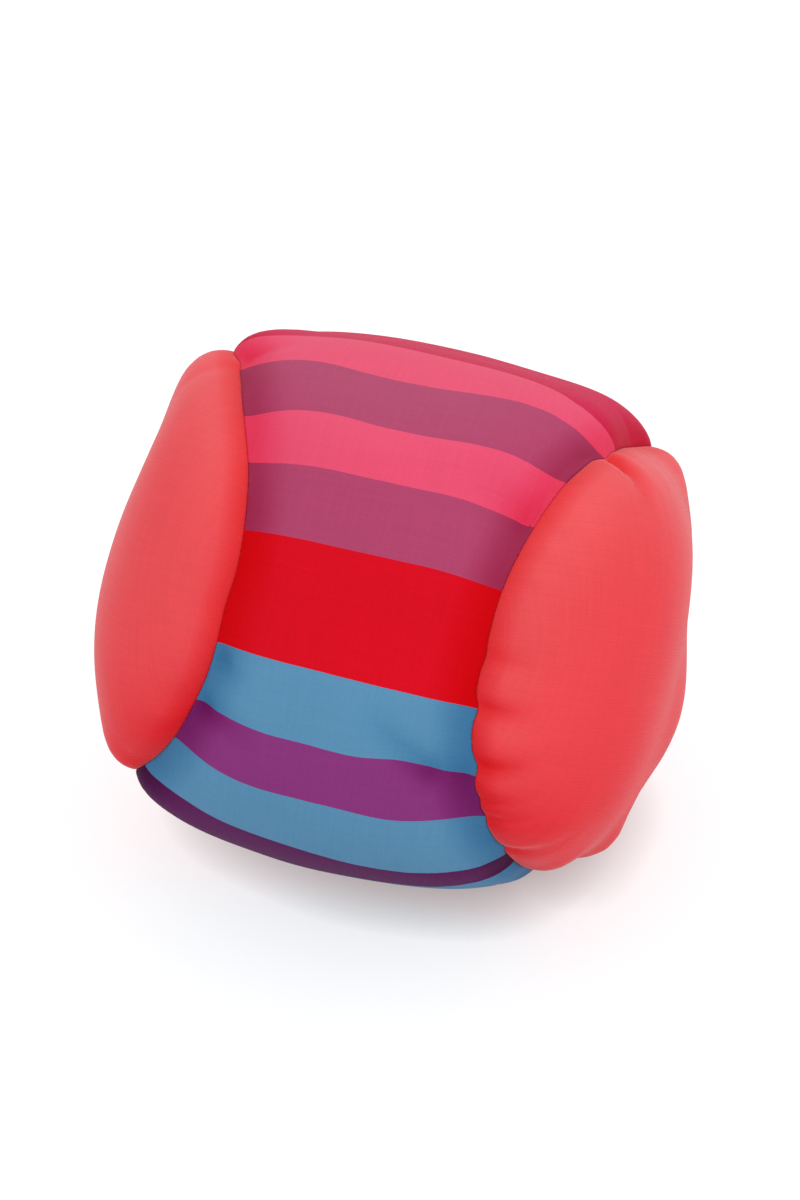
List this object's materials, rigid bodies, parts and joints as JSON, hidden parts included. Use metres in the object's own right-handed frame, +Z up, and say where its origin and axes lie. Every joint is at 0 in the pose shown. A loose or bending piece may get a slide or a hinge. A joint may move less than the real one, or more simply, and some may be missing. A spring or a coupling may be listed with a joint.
{
  "type": "soft boccia ball",
  "caption": "Soft throwing ball: a striped and a plain dumbbell-shaped cloth panel, sewn like a tennis ball's cover round a liner bag of granules, settled flat where it lies.",
  "frame": {"origin": "on the floor, under the middle of the ball's bounding box", "axes": "+Z up, +X towards the plain lobe that hangs lower, -Y towards the striped waist, the side that the picture shows"},
  "size_m": [0.0876, 0.0951, 0.0855],
  "materials": {
    "striped_cloth": "printed plain-weave cloth, matt, with crosswise stripes in crimson, pink, mauve, red, steel blue and purple",
    "plain_cloth": "dyed plain-weave cloth, coral red, matt with a faint sheen",
    "sewing_thread": "spun polyester sewing thread, dark red",
    "liner_cloth": "thin undyed cloth",
    "liner_thread": "undyed overlock thread",
    "granules": "loose natural polypropylene granules"
  },
  "bodies": {
    "root": {"striped_panel": "striped_cloth", "plain_panel": "plain_cloth", "seam_needle_thread": "sewing_thread", "seam_bobbin_thread": "sewing_thread", "closing_thread": "sewing_thread", "front_liner_panel": "liner_cloth", "back_liner_panel": "liner_cloth", "liner_overlock_thread": "liner_thread", "granule_filling": "granules"}
  },
  "joints": []
}
